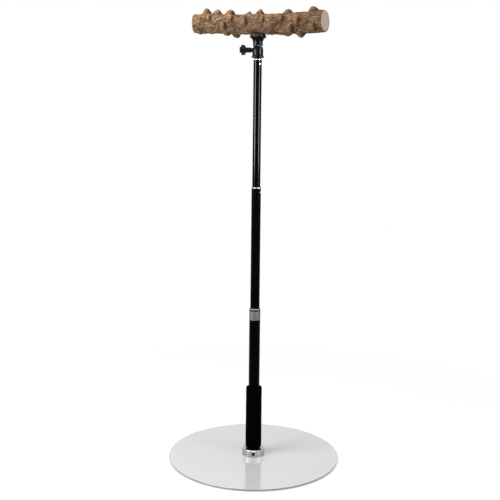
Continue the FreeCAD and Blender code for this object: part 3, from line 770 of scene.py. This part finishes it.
@dataclass(frozen=True)
class Relief:
    """Two grades of noise that roughen a surface outwards. Its sizes are in metres."""

    ridge_height: float
    ridge_size: float
    grain_height: float
    grain_size: float
    along: Tuple[float, float, float]

    def roughen(self, piece: bpy.types.Object, finish: bpy.types.Material,
                end_finish: Optional[bpy.types.Material] = None) -> None:
        """Roughen a piece by its attribute "rough", and give it its materials.

        Args:
            piece: The piece.
            finish: Material of the surface.
            end_finish: Material of the faces marked "sawn", if there are any.
        """
        growth = Growth("surface_relief", "Ridge Height", "Ridge Size", "Grain Height", "Grain Size")
        make = growth.bench
        where = make.node("GeometryNodeInputPosition")
        normal = make.node("GeometryNodeInputNormal")
        pulled = make.node("ShaderNodeVectorMath", {"operation": "MULTIPLY"},
                           {0: where.outputs[0], 1: self.along})
        waves = [self._waves(growth, pulled.outputs[0], kind, detail)
                 for kind, detail in (("Ridge", 4.0), ("Grain", 3.0))]
        lift = (waves[0] + waves[1]) * Reading(make, growth.marked("rough", "FLOAT"))
        offset = make.node("ShaderNodeVectorMath", {"operation": "SCALE"},
                           {0: normal.outputs[0], "Scale": lift})
        moved = make.node("GeometryNodeSetPosition", None, {
            "Geometry": growth.given.outputs["Geometry"], "Offset": offset.outputs[0]})
        last = growth.coat(moved.outputs[0], finish)
        if end_finish is not None:
            ends = make.node("GeometryNodeSetMaterial", None, {
                "Geometry": last, "Selection": growth.marked("sawn", "BOOLEAN"), "Material": end_finish})
            last = ends.outputs[0]
        growth.apply(piece, last, {"Ridge Height": self.ridge_height, "Ridge Size": self.ridge_size,
                                   "Grain Height": self.grain_height, "Grain Size": self.grain_size})

    @staticmethod
    def _waves(growth: Growth, where: bpy.types.NodeSocket, kind: str, detail: float) -> Reading:
        """Noise about zero, as high and as wide as the tree's numbers say.

        Args:
            growth: The tree.
            where: The places that the noise reads.
            kind: Which of the tree's numbers to use, "Ridge" or "Grain".
            detail: Octaves.

        Returns:
            The lift in metres.
        """
        made = growth.bench.node("ShaderNodeTexNoise", None, {
            "Vector": where, "Scale": 1.0 / growth.number(f"{kind} Size"), "Detail": detail,
            "Roughness": 0.6, "Distortion": 0.4})
        return (Reading(growth.bench, made.outputs[0]) - 0.5) * growth.number(f"{kind} Height")


@dataclass(frozen=True)
class Flakes:
    """Small loose bark flakes over a surface. Its sizes are in metres."""

    per_square_metre: float = 26000.0
    size: float = 0.0014
    smallest: float = 0.45
    proportions: Tuple[float, float, float] = (1.5, 0.8, 0.30)
    seed: int = 11

    def scatter(self, piece: bpy.types.Object, finish: bpy.types.Material) -> None:
        """Replace a piece's mesh by flakes that lie on it.

        Args:
            piece: The piece, a copy of the surface.
            finish: Material of the flakes.
        """
        growth = Growth("bark_flakes", "Density", "Flake Size")
        make = growth.bench
        wanted = Reading(make, growth.marked("rough", "FLOAT")) * growth.number("Density")
        points = make.node("GeometryNodeDistributePointsOnFaces", None, {
            "Mesh": growth.given.outputs["Geometry"], "Density": wanted, "Seed": self.seed})
        flake = make.node("GeometryNodeMeshIcoSphere", None, {"Radius": 1.0, "Subdivisions": 1})
        chance = make.node("FunctionNodeRandomValue", {"data_type": "FLOAT"}, {
            "Min": self.smallest, "Max": 1.0, "Seed": self.seed + 1})
        grown = growth.number("Flake Size") * Reading(make, chance.outputs[1])
        shape = make.node("ShaderNodeCombineXYZ", None, {
            i: grown * share for i, share in enumerate(self.proportions)})
        spin = make.node("FunctionNodeRandomValue", {"data_type": "FLOAT"}, {
            "Min": 0.0, "Max": math.tau, "Seed": self.seed + 2})
        turned = make.node("FunctionNodeAxisAngleToRotation", None, {
            "Axis": (0, 0, 1), "Angle": Reading(make, spin.outputs[1])})
        facing = make.node("FunctionNodeRotateRotation", {"rotation_space": "LOCAL"}, {
            0: points.outputs["Rotation"], 1: turned.outputs[0]})
        placed = make.node("GeometryNodeInstanceOnPoints", None, {
            "Points": points.outputs["Points"], "Instance": flake.outputs["Mesh"],
            "Rotation": facing.outputs[0], "Scale": shape.outputs[0]})
        last = growth.coat(placed.outputs[0], finish)
        growth.apply(piece, last, {"Density": self.per_square_metre, "Flake Size": self.size})


def ring_faces(rings: int, around: int, closed: bool) -> List[Tuple[int, ...]]:
    """Faces between rings of vertices that follow each other.

    Args:
        rings: Number of rings.
        around: Vertices in each ring.
        closed: Whether the last ring joins the first.

    Returns:
        Vertex numbers of each face.
    """
    faces = []
    for ring in range(rings if closed else rings - 1):
        here, after = ring * around, (ring + 1) % rings * around
        for i in range(around):
            j = (i + 1) % around
            faces.append((here + i, here + j, after + j, after + i))
    return faces


@dataclass
class FoamGrip:
    """Foam sleeve on the lowest tube, slightly slack, with rolled ends. Its sizes are in millimetres."""

    bottom_radius: float = 19.5
    top_radius: float = 19.2
    bore: float = 13.1
    end_radius: float = 12.0
    top_round: float = 3.0
    # how far the smooth sleeve stays inside the foam's outline, as room for its relief
    inset: float = 0.35
    # width of the flat lip at the top, and fall of the bore's edge at both ends
    lip: float = 1.6
    bore_edge: float = 0.6
    # how far past the bore the wall stays smooth
    smooth: float = 0.4
    around: int = 128
    pitch: float = 1.6
    end_steps: int = 10
    top_steps: int = 6
    relief: Relief = Relief(0.0007, 0.014, 0.00025, 0.0022, (1.0, 1.0, 0.7))

    def build(self, finishes: Finishes) -> bpy.types.Object:
        """Make the sleeve.

        Args:
            finishes: The stand's materials.

        Returns:
            The finished piece.
        """
        low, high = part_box("foam_grip")
        outline = self._outline(low.z / MM, high.z / MM)
        corners = []
        for radius, height in outline:
            for i in range(self.around):
                angle = math.tau * i / self.around
                corners.append(Vector((radius * math.cos(angle), radius * math.sin(angle), height)) * MM)
        piece = mesh_object("foam_sleeve", corners, ring_faces(len(outline), self.around, closed=True))
        rough = piece.data.attributes.new("rough", "FLOAT", "POINT")
        shares = [0.0 if radius <= self.bore + self.smooth else 1.0 for radius, _ in outline]
        rough.data.foreach_set("value", np.repeat(shares, self.around).astype(np.float32))
        self.relief.roughen(piece, finishes["black_foam"])
        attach(piece, "base")
        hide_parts("foam_grip")
        return piece

    def _outline(self, foot: float, top: float) -> List[Tuple[float, float]]:
        """Closed outline of the sleeve's wall, outside first, as (radius, height) in millimetres.

        Args:
            foot: Lowest height.
            top: Highest height.

        Returns:
            The outline's points.
        """
        inset, end, soft = self.inset, self.end_radius, self.top_round
        low, high = self.bottom_radius - inset, self.top_radius - inset
        start = -math.acos((self.bore - (low - end)) / end)
        middle = foot + inset - end * math.sin(start)
        points = []
        for i in range(self.end_steps + 1):
            angle = start * (1 - i / self.end_steps)
            points.append((low - end + end * math.cos(angle), middle + end * math.sin(angle)))
        straight = top - soft - middle
        steps = int(straight / self.pitch)
        for i in range(1, steps):
            share = i / steps
            points.append((low + (high - low) * share, middle + straight * share))
        for i in range(self.top_steps + 1):
            angle = math.pi / 2 * i / self.top_steps
            points.append((high - soft + soft * math.cos(angle),
                           top - inset - soft + soft * math.sin(angle)))
        points.append((self.bore + self.lip, top - inset))
        points.append((self.bore, top - inset - self.bore_edge))
        points.append((self.bore, points[0][1] + self.bore_edge))
        return points


@dataclass
class Branch:
    """Natural branch perch: bark with blunt knobs, sawn and sanded ends. Its sizes are in millimetres."""

    radius: float = 22.0
    seat_depth: float = 1.0
    # radius of the bark cut flat over the platform, and its gap to the platform's pad
    seat_radius: float = 22.0
    seat_gap: float = 0.25
    # below the centre line by this share of the radius, bark over the seat is left smooth
    seat_share: float = 0.55
    # x, and slant about Z, of the two sawn ends, and how far from an end its slant fades out
    left_cut: Tuple[float, float] = (-166.5, 16.0)
    right_cut: Tuple[float, float] = (160.5, -4.5)
    slant_room: float = 45.0
    # length along the branch, and share of the radius, over which each end is worn round
    left_wear: Tuple[float, float] = (4.0, 0.14)
    right_wear: Tuple[float, float] = (1.5, 0.02)
    # length near an end over which the relief fades, and what is left of it there
    calm_length: float = 3.0
    calm_share: float = 0.12
    along_steps: int = 400
    around_steps: int = 176
    cap_rings: int = 7
    # x, rise of the centre line and share of the radius
    stations: Tuple[Tuple[float, float, float], ...] = (
        (-178.0, 11.8, 0.975), (-155.0, 10.7, 0.975), (-125.0, 9.0, 0.97), (-65.0, 4.6, 0.98),
        (0.0, 0.0, 1.0), (75.0, -2.2, 1.02), (130.0, -2.4, 1.035), (166.0, -1.2, 1.045))
    # x, turn from the top towards the front, height, base radius
    knobs: Tuple[Tuple[float, float, float, float], ...] = (
        (-128.0, 8.0, 10.5, 13.0), (-98.0, 10.0, 9.4, 12.0), (-66.0, 8.0, 9.4, 12.5),
        (-20.0, 5.0, 3.2, 9.0), (9.0, 12.0, 9.0, 11.0), (77.0, 6.0, 9.5, 12.5),
        (136.0, 2.0, 11.0, 13.5), (-53.0, 184.0, 10.5, 10.5), (-75.0, 174.0, 5.0, 10.0),
        (75.0, 187.0, 4.5, 12.0), (107.0, 176.0, 9.0, 12.5), (-146.0, 166.0, 4.0, 10.0),
        (-115.0, 62.0, 8.2, 10.5), (-77.0, 104.0, 9.6, 10.6), (-58.0, 66.0, 7.0, 8.5),
        (-24.0, 80.0, 9.6, 12.0), (20.0, 72.0, 7.2, 9.5), (65.0, 70.0, 7.0, 9.5),
        (104.0, 82.0, 9.0, 11.0), (86.0, 126.0, 9.6, 12.0), (140.0, 124.0, 8.0, 13.0),
        (-128.0, -70.0, 7.0, 10.0), (-84.0, -100.0, 6.0, 10.0), (-40.0, -62.0, 7.5, 10.5),
        (12.0, -98.0, 6.0, 10.0), (52.0, -60.0, 7.0, 10.0), (95.0, -105.0, 7.0, 11.0),
        (150.0, -80.0, 8.5, 11.0))
    tip_share: float = 0.12
    # how much a knob's flank is steeper towards +X and flatter towards -X
    steep: float = 1.34
    flat: float = 0.82
    # share and number of the lobes of a knob's outline
    swirl: float = 0.10
    lobes: int = 3
    # height from which a knob has its full colour
    full_knob: float = 6.0
    # depth of the pit beside a knob, and its place and width as shares of the knob's base radius; the pit's
    # dark colour is painted shade on the knob's +X flank
    pit_depth: float = 1.6
    pit_ring: Tuple[float, float] = (0.62, 0.30)
    small_lumps: int = 70
    # slow waves of the bark: length, count round the branch, height, and height added on a knob
    wave_length: float = 26.0
    wave_round: float = 1.4
    wave_height: float = 0.9
    wave_on_knob: float = 1.6
    # x, turn and radius of the smooth spot
    heart_spot: Tuple[float, float, float] = (101.0, 84.0, 4.0)
    seed: int = 11
    relief: Relief = Relief(0.0056, 0.010, 0.0028, 0.0034, (0.42, 1.0, 1.0))

    def build(self, finishes: Finishes) -> List[bpy.types.Object]:
        """Make the branch and its loose flakes.

        Args:
            finishes: The stand's materials.

        Returns:
            The finished pieces.
        """
        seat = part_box("platform_pad")[1].z / MM
        axis = seat + self.radius - self.seat_depth
        piece = self._skin(axis, seat)
        bark = finishes["natural_bark"]
        end = EndGrain(height=(axis + self.stations[-1][1]) * MM).material()
        self.relief.roughen(piece, bark, end)
        flakes = piece.copy()
        flakes.data = piece.data.copy()
        flakes.name = "bark_flakes"
        bpy.context.scene.collection.objects.link(flakes)
        Flakes(seed=self.seed).scatter(flakes, bark)
        for made in (piece, flakes):
            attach(made, "platform")
        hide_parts("branch_perch")
        return [piece, flakes]

    def _middle(self, x: float) -> Tuple[float, float]:
        """Rise of the centre line and radius, in millimetres, at a distance along the branch."""
        places, rises, shares = zip(*self.stations)
        return float(np.interp(x, places, rises)), self.radius * float(np.interp(x, places, shares))

    def _lumps(self) -> List[Tuple[float, float, float, float]]:
        """Small swellings between the knobs, from a fixed seed.

        Returns:
            Their sizes, given as the knobs are.
        """
        chance = random.Random(self.seed)
        return [(chance.uniform(-160, 152), chance.uniform(0, 360), chance.uniform(0.6, 2.2),
                 chance.uniform(3.0, 7.5)) for _ in range(self.small_lumps)]

    def _growths(self, grid_x: np.ndarray, grid_a: np.ndarray,
                 radius: np.ndarray) -> Tuple[np.ndarray, np.ndarray, np.ndarray]:
        """Knobs and small swellings over the bark.

        Args:
            grid_x: Distance along the branch at each vertex, in millimetres.
            grid_a: Turn from the top towards the front at each vertex.
            radius: Radius along the branch.

        Returns:
            Height in millimetres, share of a knob, and share of the pit beside it, whose dark colour is
            painted shade on the knob's +X flank.
        """
        height, knob, pit = np.zeros_like(grid_x), np.zeros_like(grid_x), np.zeros_like(grid_x)
        ring_place, ring_width = self.pit_ring
        # radians round the branch that a knob reaches, and a distance past every knob
        widest, far = 1.5, 99
        for order, (kx, lean, tall, base) in enumerate(list(self.knobs) + self._lumps()):
            aside = np.angle(np.exp(1j * (grid_a - math.radians(lean))))
            across = radius * np.sin(np.clip(aside, -widest, widest))
            across = across + np.where(np.abs(aside) > widest, far, 0)
            dx = grid_x - kx
            swirl = 1 + self.swirl * np.sin(self.lobes * np.arctan2(across, dx) + order)
            reach = np.hypot(np.where(dx > 0, dx * self.steep, dx * self.flat), across) * swirl
            share = np.clip((base - reach) / (base * (1 - self.tip_share)), 0, 1)
            shape = np.sin(math.pi / 2 * share)
            if order >= len(self.knobs):
                height = height + tall * shape ** 1.5
                continue
            height = np.maximum(height, tall * shape)
            full = min(1.0, tall / self.full_knob)
            knob = np.maximum(knob, share * full)
            # painted shade: the pit's dark share is kept to the knob's +X flank, turned from the key light
            flank = np.clip(dx / (reach + 0.1) + 0.15, 0, 1) ** 1.5
            ring = np.clip(1.4 - np.abs(reach / base - ring_place) / ring_width, 0, 1)
            pit = np.maximum(pit, flank * ring * full)
        return height - pit * self.pit_depth, knob, pit

    def _waves(self, xs: np.ndarray, angles: np.ndarray) -> np.ndarray:
        """Slow unevenness of the bark.

        Args:
            xs: Steps along the branch, in millimetres.
            angles: Steps round it.

        Returns:
            The unevenness at each step along and round, about -1 to 1.
        """
        waves = np.zeros((len(xs), len(angles)))
        fade, finer, octaves = 1.0, 2.1, 3
        for i, x in enumerate(xs):
            for j, angle in enumerate(angles):
                spot = Vector((x / self.wave_length, math.cos(angle) * self.wave_round,
                               math.sin(angle) * self.wave_round))
                waves[i, j] = noise.fractal(spot, fade, finer, octaves)
        return waves

    def _heart(self, grid_x: np.ndarray, grid_a: np.ndarray, radius: np.ndarray) -> np.ndarray:
        """Smooth spot where a side shoot was cut off.

        Args:
            grid_x: Distance along the branch at each vertex, in millimetres.
            grid_a: Turn from the top towards the front at each vertex.
            radius: Radius along the branch.

        Returns:
            Share of the spot at each vertex.
        """
        x, lean, size = self.heart_spot
        beside = np.hypot(grid_x - x, radius * (grid_a - math.radians(lean))) / size
        return np.clip((1.25 - beside) * 2.0, 0, 1)

    def _skin(self, axis: float, seat: float) -> bpy.types.Object:
        """Mesh of the bark and both ends, with the numbers its materials read.

        Args:
            axis: Height of the centre line over the platform, in millimetres.
            seat: Height of the platform's pad, in millimetres.

        Returns:
            The object.
        """
        (first, left_slant), (last, right_slant) = self.left_cut, self.right_cut
        xs = np.linspace(first, last, self.along_steps)
        angles = np.arange(self.around_steps) * math.tau / self.around_steps
        grid_x, grid_a = np.meshgrid(xs, angles, indexing="ij")
        from_left, from_right = grid_x - first, last - grid_x
        middle = np.array([self._middle(x) for x in xs])
        rise, radius = middle[:, :1], middle[:, 1:]
        height, knob, pit = self._growths(grid_x, grid_a, radius)
        waves = self._waves(xs, angles)
        height = height + waves * (self.wave_height + self.wave_on_knob * knob)
        (left_length, left_share), (right_length, right_share) = self.left_wear, self.right_wear
        worn = np.clip(1 - from_left / left_length, 0, 1) ** 2 * left_share
        worn = worn + np.clip(1 - from_right / right_length, 0, 1) ** 2 * right_share
        reach = (radius + height) * (1 - worn)
        y = -np.sin(grid_a) * reach
        z = axis + rise + np.cos(grid_a) * reach
        over_seat = np.hypot(grid_x, y) < self.seat_radius
        z = np.where(over_seat & (z < seat + self.seat_gap), seat + self.seat_gap, z)
        rough = np.where(over_seat & (z < axis + rise - self.seat_share * radius), 0.0, 1.0)
        rough = rough * np.clip(np.minimum(from_left, from_right) / self.calm_length, self.calm_share, 1)
        near_left = np.clip((first + self.slant_room - grid_x) / self.slant_room, 0, 1)
        near_right = np.clip((grid_x - last + self.slant_room) / self.slant_room, 0, 1)
        lean_x = -y * (math.tan(math.radians(left_slant)) * near_left
                       + math.tan(math.radians(right_slant)) * near_right)
        corners = np.stack([grid_x + lean_x, y, z], axis=-1).reshape(-1, 3)
        faces = ring_faces(self.along_steps, self.around_steps, closed=False)
        bark_faces = len(faces)
        corners, faces = self._cap(corners, faces, 0, first, axis, flip=True)
        last_ring = (self.along_steps - 1) * self.around_steps
        corners, faces = self._cap(corners, faces, last_ring, last, axis, flip=False)
        faces = [tuple(reversed(face)) for face in faces]
        piece = mesh_object("branch_bark", [Vector(corner) * MM for corner in corners], faces)
        on_ends = np.zeros(len(corners) - height.size)
        # the furrow numbers carry painted shade: the lower a place, the darker the bark
        numbers = {"rough": rough, "knob": knob, "pit": pit,
                   "heartspot": self._heart(grid_x, grid_a, radius),
                   "furrow": np.clip(0.35 - waves * 0.6 - height * 0.03, 0, 1)}
        for name, values in numbers.items():
            kept = piece.data.attributes.new(name, "FLOAT", "POINT")
            kept.data.foreach_set("value", np.concatenate([values.ravel(), on_ends]).astype(np.float32))
        sawn = piece.data.attributes.new("sawn", "BOOLEAN", "FACE")
        sawn.data.foreach_set("value", [i >= bark_faces for i in range(len(faces))])
        return piece

    def _cap(self, corners: np.ndarray, faces: List[tuple], start: int, x: float, axis: float,
             flip: bool) -> Tuple[np.ndarray, List[tuple]]:
        """Close an end with rings that shrink to its middle.

        Args:
            corners: Vertex places so far, in millimetres.
            faces: Faces so far.
            start: Number of the end ring's first vertex.
            x: Distance of the end along the branch.
            axis: Height of the centre line over the platform.
            flip: Whether the faces turn the other way.

        Returns:
            The places and faces with the end's own added.
        """
        count = self.around_steps
        middle = np.array([x, 0.0, axis + self._middle(x)[0]])
        rim = corners[start:start + count]
        previous = list(range(start, start + count))
        added = []
        for ring in range(1, self.cap_rings + 1):
            inner = middle + (rim - middle) * (1 - ring / (self.cap_rings + 1))
            numbers = list(range(len(corners), len(corners) + count))
            corners = np.vstack([corners, inner])
            for j in range(count):
                k = (j + 1) % count
                added.append((previous[j], previous[k], numbers[k], numbers[j]))
            previous = numbers
        tip = len(corners)
        corners = np.vstack([corners, middle])
        added += [(previous[j], previous[(j + 1) % count], tip) for j in range(count)]
        if flip:
            added = [tuple(reversed(face)) for face in added]
        return corners, faces + added


UPPER_POLE = (0.0, 0.0, 1.20)
STREAK_SPREAD = 34.0


@dataclass(frozen=True)
class Softbox:
    """A rectangular studio lamp aimed at a point. Its angles are in degrees and its sizes in metres."""

    name: str
    azimuth: float
    elevation: float
    distance: float
    width: float
    height: float
    watts: float
    aim: Tuple[float, float, float] = (0.0, 0.0, 0.55)
    gloss_only: bool = False
    spread: float = 180.0

    def hang(self) -> bpy.types.Object:
        """Place the lamp. Its azimuth is counted from the camera's side, positive to the right.

        Returns:
            The lamp.
        """
        data = bpy.data.lights.new(self.name, "AREA")
        data.shape = "RECTANGLE"
        data.size, data.size_y, data.energy = self.width, self.height, self.watts
        data.spread = math.radians(self.spread)
        lamp = bpy.data.objects.new(self.name, data)
        turn = math.radians(Camera.azimuth + self.azimuth)
        lift = math.radians(self.elevation)
        away = Vector((math.sin(turn) * math.cos(lift), -math.cos(turn) * math.cos(lift), math.sin(lift)))
        lamp.location = Vector(self.aim) + away * self.distance
        lamp.rotation_mode = "QUATERNION"
        lamp.rotation_quaternion = away.to_track_quat("Z", "Y")
        lamp.visible_diffuse = not self.gloss_only
        bpy.context.scene.collection.objects.link(lamp)
        return lamp


@dataclass
class Camera:
    """View from the front right, a little above the middle of the pole, in degrees and metres."""

    azimuth: float = 25.0
    distance: float = 1.809
    height: float = 0.7395
    pitch: float = 7.47
    yaw: float = 0.411
    roll: float = 0.60
    # focal length and sensor width, in millimetres
    lens: float = 56.1
    sensor: float = 36.0
    nearest: float = 0.05
    farthest: float = 100.0

    def place(self) -> bpy.types.Object:
        """Make the camera and use it for the scene.

        Returns:
            The camera.
        """
        data = bpy.data.cameras.new("view")
        data.lens, data.sensor_width = self.lens, self.sensor
        data.clip_start, data.clip_end = self.nearest, self.farthest
        camera = bpy.data.objects.new("view", data)
        turn = math.radians(self.azimuth)
        camera.location = (math.sin(turn) * self.distance, -math.cos(turn) * self.distance, self.height)
        heading = Matrix.Rotation(turn + math.radians(self.yaw), 4, "Z")
        tilt = Matrix.Rotation(math.radians(90 - self.pitch), 4, "X")
        roll = Matrix.Rotation(math.radians(self.roll), 4, "Z")
        camera.rotation_mode = "QUATERNION"
        camera.rotation_quaternion = (heading @ tilt @ roll).to_quaternion()
        bpy.context.scene.collection.objects.link(camera)
        bpy.context.scene.camera = camera
        return camera


@dataclass
class Studio:
    """Floor, lamps, white surround and camera."""

    floor_radius: float = 14.0
    floor_sides: int = 64
    surround: float = 0.43
    lamps: Tuple[Softbox, ...] = field(default_factory=lambda: (
        Softbox("key", -62.0, 34.0, 2.4, 1.3, 1.8, 54.0),
        Softbox("fill", 58.0, 28.0, 2.6, 1.0, 1.8, 17.0),
        Softbox("top", 0.0, 78.0, 2.2, 1.2, 1.2, 30.0),
        Softbox("left_streak", -60.0, 0.0, 2.2, 0.9, 1.1, 27.0, UPPER_POLE, True, STREAK_SPREAD),
        Softbox("right_streak", 56.0, 0.0, 2.2, 0.6, 1.1, 20.0, UPPER_POLE, True, STREAK_SPREAD)))

    def set_up(self) -> None:
        """Build the studio round the stand."""
        Camera().place()
        for lamp in self.lamps:
            lamp.hang()
        turns = [math.tau * i / self.floor_sides for i in range(self.floor_sides)]
        ring = [Vector((math.cos(turn), math.sin(turn), 0)) * self.floor_radius for turn in turns]
        floor = mesh_object("floor", ring, [tuple(range(self.floor_sides))])
        floor.data.materials.append(StudioFloor().material())
        self._surround()
        bpy.context.scene.view_settings.view_transform = "Standard"

    def _surround(self) -> None:
        """Light the stand from all round, and show white to the camera and in reflections."""
        world = bpy.data.worlds.new("surround")
        world.use_nodes = True
        world.node_tree.nodes.clear()
        make = Bench(world.node_tree)
        strength = make.in_view() * (1 - self.surround) + self.surround
        sky = make.node("ShaderNodeBackground", None, {"Color": (1, 1, 1, 1), "Strength": strength})
        make.node("ShaderNodeOutputWorld", None, {"Surface": sky.outputs[0]})
        bpy.context.scene.world = world


def main() -> None:
    """Dress the stand, build its soft and natural pieces, and set up the studio."""
    logging.basicConfig(level=logging.INFO, format="%(name)s: %(message)s")
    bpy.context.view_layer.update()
    finishes = Finishes()
    finishes.dress(frame["record"], frame["nodes"])
    log.info("dressed %d nodes", len(frame["nodes"]))
    for piece in [FoamGrip().build(finishes)] + Branch().build(finishes):
        log.info("%s: %d faces", piece.name, len(piece.data.polygons))
    Studio().set_up()


if __name__ == "__main__":
    main()
